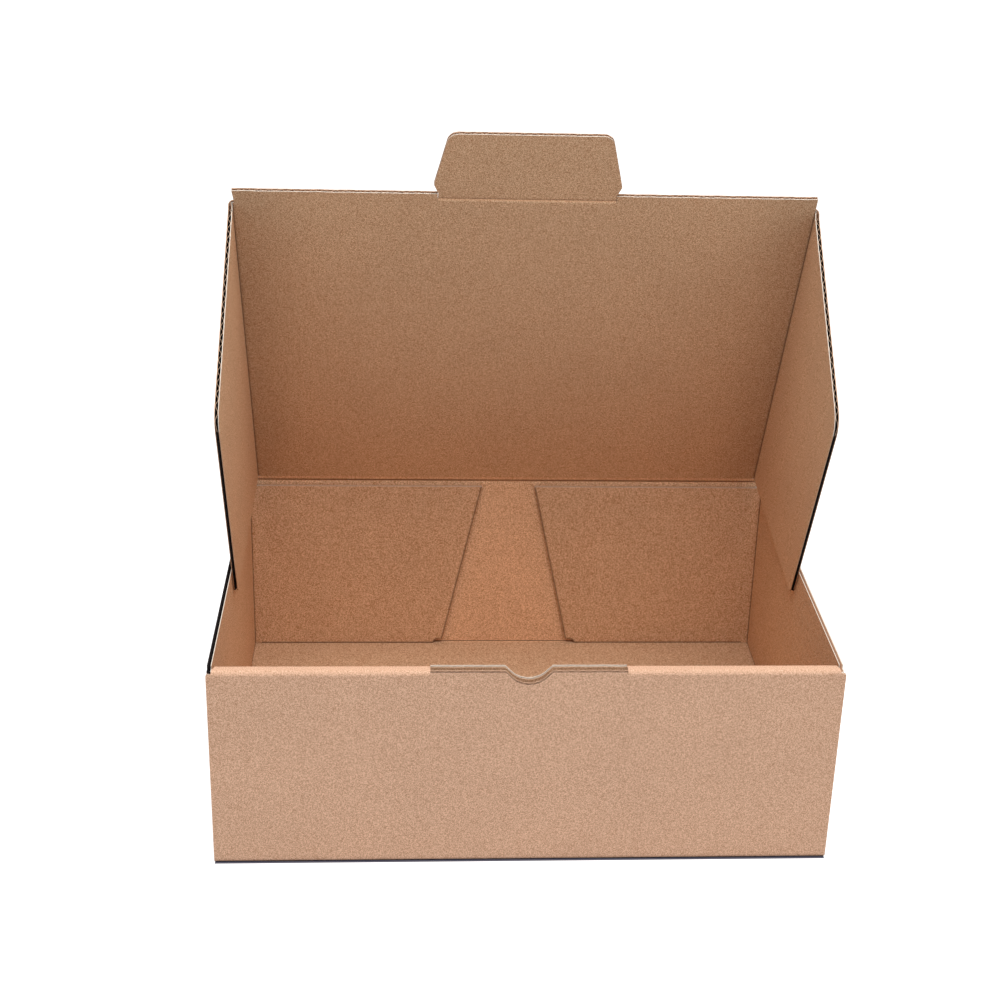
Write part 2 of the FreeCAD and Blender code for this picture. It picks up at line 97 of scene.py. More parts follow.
# A board is two liners and a wave between them, each a closed thin sheet. A point has a
# place across the flutes, a place along them and a height over the board's middle.
class Sheets:  # gathers closed sheets into one mesh
    def __init__(self):
        self.points, self.uv, self.crease, self.tone, self.faces, self.kinds = [], [], [], [], [], []
        self.count = 0

    def add(self, upper, lower, uv, crease, tone, faceKinds, edgeKinds):
        # Two grids of points are closed into a sheet by strips round their border. The faces
        # are turned over as a whole where the upper grid would point inward.
        rows, columns = upper.shape[:2]
        index = np.arange(rows * columns).reshape(rows, columns)
        quads = np.stack([index[:-1, :-1], index[1:, :-1], index[1:, 1:], index[:-1, 1:]], -1)
        quads = quads.reshape(-1, 4)
        border = np.concatenate([
            index[:-1, 0], index[-1, :-1], index[:0:-1, -1], index[0, :0:-1], index[:1, 0],
        ])
        shift = rows * columns
        strip = np.stack([border[1:], border[:-1], border[:-1] + shift, border[1:] + shift], -1)
        row, column = (rows - 1) // 2, (columns - 1) // 2
        corner = upper[row, column]
        turned = np.cross(upper[row + 1, column] - corner, upper[row, column + 1] - corner)
        faces = np.concatenate([quads, quads[:, ::-1] + shift, strip])
        if np.dot(turned, corner - lower[row, column]) < 0:
            faces = faces[:, ::-1]
        self.points += [upper.reshape(-1, 3), lower.reshape(-1, 3)]
        self.uv += [uv.reshape(-1, 2)] * 2
        self.crease += [crease.reshape(-1)] * 2
        self.tone += [tone.reshape(-1)] * 2
        self.faces.append(faces + self.count)
        sides = [rows - 1, columns - 1] * 2
        self.kinds.append(np.repeat([*faceKinds, *edgeKinds], [len(quads), len(quads), *sides]))
        self.count += 2 * shift

    def finish(self, name):
        points = np.concatenate(self.points) * mm
        faces = np.concatenate(self.faces)
        uv = np.concatenate(self.uv) * mm
        mesh = bpy.data.meshes.new(name)
        mesh.vertices.add(len(points))
        mesh.vertices.foreach_set("co", points.ravel())
        mesh.loops.add(faces.size)
        mesh.loops.foreach_set("vertex_index", faces.ravel())
        mesh.polygons.add(len(faces))
        mesh.polygons.foreach_set("loop_start", np.arange(0, faces.size, 4))
        mesh.polygons.foreach_set("material_index", np.concatenate(self.kinds))
        mesh.update(calc_edges=True)
        layer = mesh.uv_layers.new(name="boardUv")
        layer.data.foreach_set("uv", uv[faces.ravel()].ravel())
        for label, values in (("crease", self.crease), ("tone", self.tone)):
            mesh.attributes.new(label, "FLOAT", "POINT").data.foreach_set("value", np.concatenate(values))
        mesh.polygons.foreach_set("use_smooth", np.ones(len(faces), bool))
        mesh.set_sharp_from_angle(angle=math.radians(board["sharpAngle"]))
        for material in boardMaterials:
            mesh.materials.append(material)
        piece = bpy.data.objects.new(name, mesh)
        bpy.context.scene.collection.objects.link(piece)
        print("piece", name, len(faces) * 2, "triangles")
        return piece


def spread(low, high, step, extra=()):  # even values about a step apart, with the extra ones
    count = max(int(round((high - low) / step)), 1) + 1
    inside = [value for value in extra if low < value < high]
    return np.unique(np.concatenate([np.linspace(low, high, count), inside]))


def evenly(amount):  # the same tone all over
    return lambda wide, along: wide * 0 + amount


def addBoard(sheets, place, across, start, end, rows, extra=(), phase=0.0, creaseOf=evenly(0), outerShade=0.0,
             paintedLightAndShadeOf=evenly(0), inside=rawPaper, cuts=lightInner, samples=board["samples"]):
    # start and end are numbers or functions of the place across, and rows are shares of the
    # way between them. place turns across, along and height into x, y and z. The wave's
    # height over the middle is a sine of the place across, one turn to a flute, and phase
    # shifts it.
    startOf = start if callable(start) else lambda a: a * 0 + start
    endOf = end if callable(end) else lambda a: a * 0 + end
    rows = np.asarray(rows, float)
    reach = half - board["liner"]
    swing = reach - board["medium"] / 2 + board["bite"]

    def grid(a):  # an edge given as a function is cut, so it is ragged
        slow, fast = board["raggedTurns"]
        rough = np.sin(a * slow + phase) + board["raggedSecond"] * np.sin(a * fast + 2 * phase)
        rough = board["ragged"] * rough
        first = startOf(a) + (rough if callable(start) else 0)
        last = endOf(a) + (rough if callable(end) else 0)
        along = first[:, None] * (1 - rows) + last[:, None] * rows
        wide = np.repeat(a[:, None], len(rows), 1)
        return wide, along, np.stack([wide, along], -1), creaseOf(wide, along), paintedLightAndShadeOf(wide, along)

    # The crease attribute carries painted shade, in full on the inner liner and by outerShade's share on the
    # outer one. The tone attribute carries painted light and shade on the inner liner only.
    wide, along, uv, shade, tone = grid(spread(*across, board["linerStep"], extra))
    sheets.add(place(wide, along, wide * 0 + half), place(wide, along, wide * 0 + reach), uv,
               shade * outerShade, tone * 0, [outerPaper, inside], cuts[0])
    sheets.add(place(wide, along, wide * 0 - reach), place(wide, along, wide * 0 - half), uv,
               shade, tone, [inside, innerPaper], cuts[1])
    wide, along, uv, shade, tone = grid(spread(*across, board["pitch"] / samples, extra))
    wave = swing * np.sin(2 * math.pi * wide / board["pitch"] + phase)
    sheets.add(place(wide, along, wave + board["medium"] / 2), place(wide, along, wave - board["medium"] / 2),
               uv, shade * 0, tone * 0, [inside, inside], cuts[2])


def unit(vector):
    return vector / np.linalg.norm(vector)


def foldedPath(corners, radius=board["bend"], arcSteps=6, straightStep=30.0):
    # A path in a plane with its turns as arcs. Each arc starts before its corner by the
    # radius times the tangent of half the turn. Normals point to the right of the way, and
    # knots are the lengths along the path where a sheet gets its rows.
    corners = np.array(corners, float)
    points, normals, turns = [], [], []
    for index, corner in enumerate(corners):
        if 0 < index < len(corners) - 1:
            before = unit(corner - corners[index - 1])
            after = unit(corners[index + 1] - corner)
            turn = math.atan2(before[0] * after[1] - before[1] * after[0], before @ after)
            side = math.copysign(1, turn)
            left = np.array([-before[1], before[0]]) * side
            centre = corner - before * radius * math.tan(abs(turn) / 2) + left * radius
            turns.append([len(points), len(points) + arcSteps])
            for angle in np.linspace(0, turn, arcSteps + 1):
                cosine, sine = math.cos(angle), math.sin(angle)
                turned = np.array([-left[0] * cosine + left[1] * sine, -left[0] * sine - left[1] * cosine])
                points.append(centre + turned * radius)
                normals.append(turned * side)
        else:
            way = unit(corners[1] - corner) if index == 0 else unit(corner - corners[-2])
            points.append(corner)
            normals.append(np.array([way[1], -way[0]]))
    points, normals = np.array(points), np.array(normals)
    length = np.concatenate([[0], np.cumsum(np.linalg.norm(np.diff(points, axis=0), axis=1))])
    turns = length[np.array(turns)]
    beside = np.concatenate([turns[:, 0] - board["creaseReach"], turns[:, 1] + board["creaseReach"]])
    beside = beside[(beside > 0) & (beside < length[-1])]
    filled = [spread(a, b, straightStep) for a, b in zip(length, length[1:])]
    knots = np.unique(np.round(np.concatenate(filled + [beside]), 6))
    return {"length": length, "points": points, "normals": normals, "turns": turns, "knots": knots}


def onPath(path, along, lift):
    # The point as far along the path as asked, moved by lift along the path's normal there
    spots = [np.interp(along, path["length"], path["points"][:, axis]) for axis in (0, 1)]
    sides = [np.interp(along, path["length"], path["normals"][:, axis]) for axis in (0, 1)]
    size = np.hypot(*sides)
    return [spot + lift * side / size for spot, side in zip(spots, sides)]


def shares(path):  # the path's knots as shares of its length
    return path["knots"] / path["knots"][-1]


def foldShade(path, acrossPath=False):
    # 1 on each fold's arc, falling evenly to 0 at the crease's reach past it
    def shade(wide, along):
        place = (wide if acrossPath else along)[..., None]
        away = np.maximum(path["turns"][:, 0] - place, place - path["turns"][:, 1])
        return np.clip(1 - np.maximum(away.min(-1), 0) / board["creaseReach"], 0, 1)
    return shade


def creaseLine(middle, reach, acrossPath=False, depth=1.0):
    # A bell curve across the crease: depth times e to minus the square of the distance from
    # its middle over its reach
    def shade(wide, along):
        return depth * np.exp(-(((wide if acrossPath else along) - middle) / reach) ** 2)
    return shade


def roundedOutline(corners, radii, steps=8):
    # An open outline, each inner corner an arc that starts before it by the radius times the
    # tangent of half the turn
    points = [np.array(corners[0], float)]
    for index, radius in enumerate(radii, start=1):
        corner = np.array(corners[index], float)
        before = unit(corner - np.array(corners[index - 1], float))
        after = unit(np.array(corners[index + 1], float) - corner)
        turn = math.acos(np.clip(before @ after, -1, 1))
        first = corner - before * radius * math.tan(turn / 2)
        inward = unit(after - before * (before @ after))
        for angle in np.linspace(0, turn, steps + 1):
            points.append(first + radius * (before * math.sin(angle) + inward * (1 - math.cos(angle))))
    points.append(np.array(corners[-1], float))
    return np.array(points).T


# Papers of the board
papers = {
    "outer": (0.72, 0.432, 0.285),
    "inner": (0.72, 0.397, 0.226),
    "cut": (0.90, 0.77, 0.67),
    "raw": (0.66, 0.43, 0.29),
    # Near black: painted shade for open flutes and cut edges that lie in shade
    "shade": (0.016, 0.012, 0.012),
    # Colour and strength of the painted shade along folds, creases and cut edges
    "crease": (0.13, 0.06, 0.035),
    "creaseDepth": 0.88,
    "gamma": 2.2,
    "outerSpeck": 0.15,  # how far the specks go to either side of the paper's tone
    "innerSpeck": 0.21,
    "speckShare": 0.8,
    "speckScale": 1700.0,
    "speckRange": (0.3, 0.7),  # part of the noise that runs from dark to light
    "cloudScale": 24.0,
    "cloudChange": 0.06,
    "fleckScale": 300.0,
    "fleckRange": (0.68, 0.76),
    "fleckDepth": 0.5,
    "linerRoughness": 0.85,
    "linerSheen": 0.15,
    "grainBump": (0.5, 0.0002),  # strength, and depth in metres
    "ridgeBump": (0.1, 0.0003),
    "rawRoughness": 0.92,
    "rawSheen": 0.1,
    "rawScale": 900.0,
    "rawChange": 0.2,
}


def newGroup(name, inputs, outputs):  # a node group with its inlet and outlet
    group = bpy.data.node_groups.new(name, "ShaderNodeTree")
    for label, kind, value in inputs:
        socket = group.interface.new_socket(label, in_out="INPUT", socket_type=kind)
        if value is not None:
            socket.default_value = value
    for label, kind in outputs:
        group.interface.new_socket(label, in_out="OUTPUT", socket_type=kind)
    return group, group.nodes.new("NodeGroupInput"), group.nodes.new("NodeGroupOutput")


def addNode(tree, kind, values=None, **settings):  # values go to the inputs, by name or number
    node = tree.nodes.new(kind)
    for key, value in settings.items():
        setattr(node, key, value)
    for key, value in (values or {}).items():
        node.inputs[key].default_value = value
    return node


def mixColors(tree, factor, first, second):
    # A colour between first and second. Each value is a socket to link or a constant.
    node = addNode(tree, "ShaderNodeMix", data_type="RGBA")
    factorSlot, firstSlot, secondSlot, resultSlot = 0, 6, 7, 2
    for slot, value in ((factorSlot, factor), (firstSlot, first), (secondSlot, second)):
        if isinstance(value, bpy.types.NodeSocket):
            tree.links.new(value, node.inputs[slot])
        else:
            node.inputs[slot].default_value = value
    return node.outputs[resultSlot]


def toned(color, change):
    # Each channel to the power of 1 over gamma, plus the change, kept within 0 and 1, and
    # back to the power of gamma
    gamma = papers["gamma"]
    return [min(max(value ** (1 / gamma) + change, 0), 1) ** gamma for value in color]


def inRange(pair):  # where a Map Range node starts and ends
    return {"From Min": pair[0], "From Max": pair[1]}


def makeKraftGroup():
    # Kraft paper: fine speckle, flecks of dark fibre and soft clouds
    group, inlet, outlet = newGroup("kraftPaper", [
        ("Place", "NodeSocketVector", None),
        ("Paper", "NodeSocketColor", (*papers["outer"], 1)),
        ("Dark", "NodeSocketColor", (*toned(papers["outer"], -papers["outerSpeck"]), 1)),
        ("Light", "NodeSocketColor", (*toned(papers["outer"], papers["outerSpeck"]), 1)),
    ], [("Color", "NodeSocketColor"), ("Height", "NodeSocketFloat")])
    link = group.links.new
    speck = addNode(group, "ShaderNodeTexNoise", {
        "Scale": papers["speckScale"],
        "Detail": 1.0,
        "Roughness": 0.5,
    })
    link(inlet.outputs["Place"], speck.inputs["Vector"])
    tone = addNode(group, "ShaderNodeMapRange", inRange(papers["speckRange"]))
    link(speck.outputs["Fac"], tone.inputs["Value"])
    specks = mixColors(group, tone.outputs["Result"], inlet.outputs["Dark"], inlet.outputs["Light"])
    base = mixColors(group, papers["speckShare"], inlet.outputs["Paper"], specks)
    clouds = addNode(group, "ShaderNodeTexNoise", {"Scale": papers["cloudScale"], "Detail": 4.0})
    link(inlet.outputs["Place"], clouds.inputs["Vector"])
    change = papers["cloudChange"]
    cloudTone = addNode(group, "ShaderNodeMapRange", {"To Min": 1 - change, "To Max": 1 + change})
    link(clouds.outputs["Fac"], cloudTone.inputs["Value"])
    clouded = addNode(group, "ShaderNodeVectorMath", operation="SCALE")
    link(base, clouded.inputs[0])
    link(cloudTone.outputs["Result"], clouded.inputs["Scale"])
    fleck = addNode(group, "ShaderNodeTexNoise", {
        "Scale": papers["fleckScale"],
        "Detail": 2.0,
        "Roughness": 0.7,
    })
    link(inlet.outputs["Place"], fleck.inputs["Vector"])
    fleckTone = addNode(group, "ShaderNodeMapRange", {
        **inRange(papers["fleckRange"]),
        "To Max": papers["fleckDepth"],
    })
    link(fleck.outputs["Fac"], fleckTone.inputs["Value"])
    flecked = mixColors(group, fleckTone.outputs["Result"], clouded.outputs["Vector"], inlet.outputs["Dark"])
    link(flecked, outlet.inputs["Color"])
    link(speck.outputs["Fac"], outlet.inputs["Height"])
    return group


def makeWashboardGroup():
    # Faint ridges of the liner over the flutes: a sine of the place across the board
    group, inlet, outlet = newGroup("washboard", [
        ("Uv", "NodeSocketVector", None),
        ("Pitch", "NodeSocketFloat", board["pitch"] * mm),
    ], [("Ridge", "NodeSocketFloat")])
    link = group.links.new
    split = addNode(group, "ShaderNodeSeparateXYZ")
    link(inlet.outputs["Uv"], split.inputs["Vector"])
    turns = addNode(group, "ShaderNodeMath", operation="DIVIDE")
    link(split.outputs["X"], turns.inputs[0])
    link(inlet.outputs["Pitch"], turns.inputs[1])
    angle = addNode(group, "ShaderNodeMath", {1: 2 * math.pi}, operation="MULTIPLY")
    link(turns.outputs["Value"], angle.inputs[0])
    ridge = addNode(group, "ShaderNodeMath", operation="SINE")
    link(angle.outputs["Value"], ridge.inputs[0])
    link(ridge.outputs["Value"], outlet.inputs["Ridge"])
    return group


def newMaterial(name, roughness, sheen):
    material = bpy.data.materials.new(name)
    material.use_nodes = True
    shader = material.node_tree.nodes["Principled BSDF"]
    shader.inputs["Roughness"].default_value = roughness
    shader.inputs["Specular IOR Level"].default_value = sheen
    return material, material.node_tree, shader


def makeLiner(name, paper, speck):
    # Kraft paper times 1 plus the tone attribute, which is painted light and shade, with the colour of the
    # painted crease shade mixed in by the crease attribute
    material, tree, shader = newMaterial(name, papers["linerRoughness"], papers["linerSheen"])
    link = tree.links.new
    place = addNode(tree, "ShaderNodeTexCoord")
    kraft = addNode(tree, "ShaderNodeGroup", node_tree=kraftGroup)
    kraft.inputs["Paper"].default_value = (*paper, 1)
    kraft.inputs["Dark"].default_value = (*toned(paper, -speck), 1)
    kraft.inputs["Light"].default_value = (*toned(paper, speck), 1)
    link(place.outputs["Object"], kraft.inputs["Place"])
    tone = addNode(tree, "ShaderNodeAttribute", attribute_name="tone")
    share = addNode(tree, "ShaderNodeMath", {1: 1.0}, operation="ADD")
    link(tone.outputs["Fac"], share.inputs[0])
    scaled = addNode(tree, "ShaderNodeVectorMath", operation="SCALE")
    link(kraft.outputs["Color"], scaled.inputs[0])
    link(share.outputs["Value"], scaled.inputs["Scale"])
    uvMap = addNode(tree, "ShaderNodeUVMap", uv_map="boardUv")
    ridges = addNode(tree, "ShaderNodeGroup", node_tree=washboardGroup)
    link(uvMap.outputs["UV"], ridges.inputs["Uv"])
    crease = addNode(tree, "ShaderNodeAttribute", attribute_name="crease")
    amount = addNode(tree, "ShaderNodeMath", {1: papers["creaseDepth"]}, operation="MULTIPLY")
    link(crease.outputs["Fac"], amount.inputs[0])
    shaded = mixColors(tree, amount.outputs["Value"], scaled.outputs["Vector"], (*papers["crease"], 1))
    link(shaded, shader.inputs["Base Color"])
    strength, distance = papers["grainBump"]
    grain = addNode(tree, "ShaderNodeBump", {"Strength": strength, "Distance": distance})
    link(kraft.outputs["Height"], grain.inputs["Height"])
    strength, distance = papers["ridgeBump"]
    wave = addNode(tree, "ShaderNodeBump", {"Strength": strength, "Distance": distance})
    link(ridges.outputs["Ridge"], wave.inputs["Height"])
    link(grain.outputs["Normal"], wave.inputs["Normal"])
    link(wave.outputs["Normal"], shader.inputs["Normal"])
    return material


def makeRawPaper(name, color):  # paper of one tone broken by fine noise
    material, tree, shader = newMaterial(name, papers["rawRoughness"], papers["rawSheen"])
    change = papers["rawChange"]
    place = addNode(tree, "ShaderNodeTexCoord")
    noise = addNode(tree, "ShaderNodeTexNoise", {"Scale": papers["rawScale"], "Detail": 2.0})
    low = [value * (1 - change) for value in color]
    high = [min(value * (1 + change), 1) for value in color]
    tree.links.new(place.outputs["Object"], noise.inputs["Vector"])
    broken = mixColors(tree, noise.outputs["Fac"], (*low, 1), (*high, 1))
    tree.links.new(broken, shader.inputs["Base Color"])
    return material


kraftGroup = makeKraftGroup()
washboardGroup = makeWashboardGroup()
boardMaterials = [
    makeLiner("outerLiner", papers["outer"], papers["outerSpeck"]),
    makeLiner("innerLiner", papers["inner"], papers["innerSpeck"]),
    makeRawPaper("cutEdge", papers["cut"]),
    makeRawPaper("fluteInside", papers["raw"]),
    makeRawPaper("fluteShade", papers["shade"]),
]
print("materials made")


# Tray
tray = {
    "slotHalf": 56.5,
    "slotStep": 0.4,  # how far the slot's edges lie under the rim
    "notchHalf": 14.0,
    "notchWaist": 9.6,  # half width where the notch's round foot starts
    "notchShoulder": 4.6,  # depth of its slanted sides
    "notchDepth": 8.5,
    "notchPoints": 57,
    "footHeight": 10.0,  # where the front's panels meet its foot
    "foldReach": 3.0,  # how far a wall's fold runs into the bottom
    "sideFoldReach": 1.5,
    "wrap": 6.0,  # how far a side wall's fold runs into its flaps
    "wallDrop": 0.8,  # of the side walls' tops under the rim's
    "underRim": 2.9,
    "backFlapDrop": 1.8,
    "flapStep": (8.0, 5.0),  # before a side wall's rear end its top falls to the back flap's
    "backGapTop": 18.6,  # half the gap between the back flaps
    "backGapFoot": 45.9,
    "footNotch": 3.2,  # radius
    "footNotchShift": 0.7,  # its middle behind the free edge, as a share of the radius
    "edgeReach": 0.8,  # of the painted shade line along a back flap's free edge
    "frontFlap": 100.0,
    "lockMiddle": 115.0,
    "lockHalf": 25.0,
    "creaseStart": 128.0,  # height where the lid's crease takes over from the back wall
    "creaseHalf": 176.4,
    "rimInset": 3.2,
    "rimMitre": 1.3,
    "cornerOut": 0.4,  # the rim widens by this before it meets the front's full width
    "cornerDrop": 0.5,
    "wallStep": 0.1,  # width of the step in a side wall's top behind the rim
    "frontFixed": 150.0,  # half width that keeps its places when the rim's ends are drawn in
    "wallFixed": 120.0,  # height up to which a side wall keeps its places
    # Painted light on the back wall's inside, and painted shade on the bottom's inside behind the slots, as
    # shares of the paper's colour
    "backPaintedLight": 0.2,
    "bottomPaintedShade": -0.12,
}


def uprightPanel(y, outward):
    # A flat panel across X, its flutes up along Z, at y plus the height times outward
    return lambda a, s, d: np.stack([a, a * 0 + y + outward * d, s], -1)


def slotTop(a):
    # Level, then the notch's slanted sides, then its foot, which is the arc through the two
    # ends of the slants and the lowest point
    away = np.abs(a)
    slant = (tray["notchHalf"] - away) / (tray["notchHalf"] - tray["notchWaist"]) * tray["notchShoulder"]
    sag = tray["notchDepth"] - tray["notchShoulder"]
    radius = (tray["notchWaist"] ** 2 + sag ** 2) / (2 * sag)
    bowl = tray["notchDepth"] - radius + np.sqrt(np.maximum(radius ** 2 - away ** 2, 0))
    depth = np.where(away < tray["notchWaist"], bowl, np.maximum(slant, 0))
    return np.minimum(height - depth, height - tray["slotStep"])


def pulledIn(a, fixed, whole, edge):
    # Places past fixed are drawn in evenly, so that whole meets edge, on both sides of 0
    away = np.abs(a)
    pulled = fixed + (away - fixed) * (edge - fixed) / (whole - fixed)
    return np.sign(a) * np.where(away > fixed, pulled, away)


def addFront(sheets):  # both front panels with the rim, the slot, the foot and the locking tabs
    rim = foldedPath([
        (innerFrontY, floorClear),
        (innerFrontY, rimMid),
        (-wallY, rimMid),
        (-wallY, tray["footHeight"]),
    ])
    rear, front = rim["turns"][0, 1], rim["turns"][1, 0]
    rimEnd = halfWidth - tray["rimInset"]
    corner = rim["turns"][1, 1]
    reachAt = [rear, front, corner - tray["cornerDrop"], corner]
    reach = [rimEnd - tray["rimMitre"], rimEnd, rimEnd + tray["cornerOut"], halfWidth]
    fixed = tray["frontFixed"]

    def place(a, s, d):  # along the rolled path, its half width falling to the rim's
        y, z = onPath(rim, s, d)
        return np.stack([pulledIn(a, fixed, halfWidth, np.interp(s, reachAt, reach)), y, z], -1)

    knots = np.unique(np.concatenate([rim["knots"], reachAt]))
    for low, high in ((-halfWidth, -tray["slotHalf"]), (tray["slotHalf"], halfWidth)):
        addBoard(sheets, place, (low, high), 0.0, rim["knots"][-1], knots / knots[-1], (-fixed, fixed),
                 creaseOf=foldShade(rim), samples=board["hiddenSamples"])
    dense = np.linspace(-tray["notchHalf"], tray["notchHalf"], tray["notchPoints"])
    middle = (-tray["slotHalf"], tray["slotHalf"])
    rows = np.linspace(0, 1, 6)
    # The outer liner's cut edges at the slot get the near-black shade paper, a painted shade line; the other
    # cut edges are raw paper
    darkFront = np.full((3, 4), rawPaper)
    darkFront[0] = shadePaper
    addBoard(sheets, uprightPanel(-wallY, -1), middle, tray["footHeight"], slotTop, rows, dense,
             cuts=darkFront)
    # The rear board's flute insides get the light cut paper, painted light on its open flutes at the slot
    lightRear = lightInner[[1, 0, 0]]
    addBoard(sheets, uprightPanel(innerFrontY, 1), middle, floorClear, slotTop, rows, dense,
             inside=cutPaper, cuts=lightRear)
    foot = foldedPath([(-wallY, tray["footHeight"]), (-wallY, half), (tray["foldReach"] - wallY, half)])

    def placeFoot(a, s, d):  # a across, and s along the path in y and z
        y, z = onPath(foot, s, d)
        return np.stack([a, y, z], -1)

    addBoard(sheets, placeFoot, (-halfWidth, halfWidth), 0.0, foot["knots"][-1], shares(foot),
             creaseOf=foldShade(foot), samples=board["hiddenSamples"])
    for side in (-1, 1):
        ends = sorted([side * (tray["lockMiddle"] - tray["lockHalf"] + board["slip"]),
                       side * (tray["lockMiddle"] + tray["lockHalf"] - board["slip"])])
        addBoard(sheets, uprightPanel(innerFrontY, 1), ends, board["slip"], floorClear, [0, 1])


def addBottom(sheets):  # in strips round the two slots that the locking tabs go through
    def place(a, s, d):
        return np.stack([a, s, half - d], -1)

    side = wallX - board["bend"]
    front, rear = tray["foldReach"] - wallY, wallY - tray["foldReach"]
    slotFront = innerFrontY - half - board["slip"]
    slotRear = innerFrontY + half + board["slip"]
    lockIn = tray["lockMiddle"] - tray["lockHalf"]
    lockOut = tray["lockMiddle"] + tray["lockHalf"]
    addBoard(sheets, place, (-side, side), front, slotFront, [0, 1], samples=board["hiddenSamples"])
    for low, high in ((-side, -lockOut), (-lockIn, lockIn), (lockOut, side)):
        addBoard(sheets, place, (low, high), slotFront, slotRear, [0, 1], samples=board["hiddenSamples"])
    addBoard(sheets, place, (-side, side), slotRear, rear, np.linspace(0, 1, 9),
             paintedLightAndShadeOf=evenly(tray["bottomPaintedShade"]), samples=board["hiddenSamples"])


def addBack(sheets):
    wall = foldedPath([(wallY - tray["foldReach"], half), (wallY, half), (wallY, tray["creaseStart"])])

    def place(a, s, d):  # a across, and s along the path in y and z
        y, z = onPath(wall, s, d)
        return np.stack([a, y, z], -1)

    addBoard(sheets, place, (-halfWidth, halfWidth), 0.0, wall["knots"][-1], shares(wall),
             creaseOf=foldShade(wall), paintedLightAndShadeOf=evenly(tray["backPaintedLight"]), samples=board["hiddenSamples"])
    for low, high in ((-halfWidth, -tray["creaseHalf"]), (tray["creaseHalf"], halfWidth)):
        addBoard(sheets, uprightPanel(wallY, 1), (low, high), tray["creaseStart"], height, [0, 1])


def addSide(sheets, side):  # a side wall with its fold at the foot and its two flaps
    flapY = wallY - board["thickness"] - board["slip"]
    start = wallX - tray["wrap"]
    loop = foldedPath([(start, trappedY), (wallX, trappedY), (wallX, flapY), (start, flapY)])
    total = loop["knots"][-1]
    wallTop = height - tray["wallDrop"]
    under = height - tray["underRim"]
    rimEnd = loop["turns"][0, 1] + (innerFrontY + half + board["slip"] - trappedY - board["bend"])
    flapTop = height - tray["backFlapDrop"]
    topsAt = [0, rimEnd - tray["wallStep"], rimEnd, *(total - reach for reach in tray["flapStep"])]
    tops = [under, under, wallTop, wallTop, flapTop]
    fixed = tray["wallFixed"]

    def placeWall(a, s, d):
        # s along the loop in x and y, and a up, drawn out or in above fixed to meet the top
        top = np.interp(s, topsAt, tops)
        z = np.where(a > fixed, fixed + (a - fixed) * (top - fixed) / (wallTop - fixed), a)
        x, y = onPath(loop, s, d)
        return np.stack([side * x, y, z], -1)

    knots = np.unique(np.concatenate([loop["knots"], topsAt]))
    # The left wall's outer liner and medium cut edges and its flute insides get the near-black shade paper,
    # painted shade; the right wall keeps the plain cut and raw papers
    edgePaper, inside = (shadePaper, shadePaper) if side < 0 else (cutPaper, rawPaper)
    edges = lightInner.copy()
    edges[[0, 2]] = edgePaper
    addBoard(sheets, placeWall, (floorClear, wallTop), 0.0, total, knots / total, (fixed,),
             phase=0.7, creaseOf=foldShade(loop), inside=inside, cuts=edges,
             samples=board["hiddenSamples"])

    foot = foldedPath([(wallX - tray["sideFoldReach"], half), (wallX, half), (wallX, floorClear)])
    footEnd = wallY - tray["foldReach"]

    def placeFoot(a, s, d):  # a along the path in x and z, and s along the wall
        x, z = onPath(foot, a, d)
        return np.stack([side * x, s, z], -1)

    addBoard(sheets, placeFoot, (0, foot["knots"][-1]), -footEnd, footEnd, [0, 0.5, 1],
             foot["knots"], creaseOf=foldShade(foot, acrossPath=True))

    def placeTrapped(a, s, d):  # a up, and s outward
        return np.stack([side * s, trappedY - d, a], -1)

    addBoard(sheets, placeTrapped, (floorClear, under), wallX - half - tray["frontFlap"], start, [0, 1])

    radius = tray["footNotch"]
    notchMiddle = tray["backGapFoot"] + tray["footNotchShift"] * radius

    def freeEdge(a):  # a slant, and at its foot the far side of a circle
        up = a - floorClear
        rise = up / (flapTop - floorClear)
        slant = tray["backGapFoot"] + (tray["backGapTop"] - tray["backGapFoot"]) * rise
        bite = notchMiddle + np.sqrt(np.maximum(radius ** 2 - up ** 2, 0))
        return np.where(up < radius, np.maximum(bite, slant), slant)

    def placeFlap(a, s, d):  # a up, and s outward
        return np.stack([side * s, flapY + d, a], -1)

    def edgeShade(wide, along):  # painted shade: a bell curve along the free edge, the foot and the notch
        ring = np.abs(np.hypot(along - notchMiddle, wide - floorClear) - radius)
        away = np.minimum(np.minimum(along - freeEdge(wide), wide - floorClear), ring)
        return np.exp(-(away / tray["edgeReach"]) ** 2)

    # Rows and columns lie close together at the dark line and at the notch
    atEdge, atNotch = np.linspace(0, 0.012, 4), np.linspace(0.02, 0.06, 8)
    notchRows = floorClear + radius * np.sin(np.linspace(0, math.pi / 2, 9))
    aboveNotch = notchRows[-1] + np.array([0.02, 0.5, 1.0, 1.6, 2.4])
    aboveFoot = floorClear + 0.5
    # The back flaps' free cut edges get the near-black shade paper, painted shade
    darkFree = lightInner.copy()
    darkFree[:, 0] = shadePaper
    addBoard(sheets, placeFlap, (floorClear, flapTop), freeEdge, start,
             np.unique([*atEdge, *atNotch, *np.linspace(0, 1, 7)]), [*notchRows, *aboveNotch, aboveFoot],
             phase=0.4, creaseOf=edgeShade, cuts=darkFree)


trayBoard = Sheets()
addFront(trayBoard)
addBottom(trayBoard)
addBack(trayBoard)
addSide(trayBoard, -1)
addSide(trayBoard, 1)
trayPiece = trayBoard.finish("trayBoard")
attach(trayPiece, "tray")
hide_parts("tray")


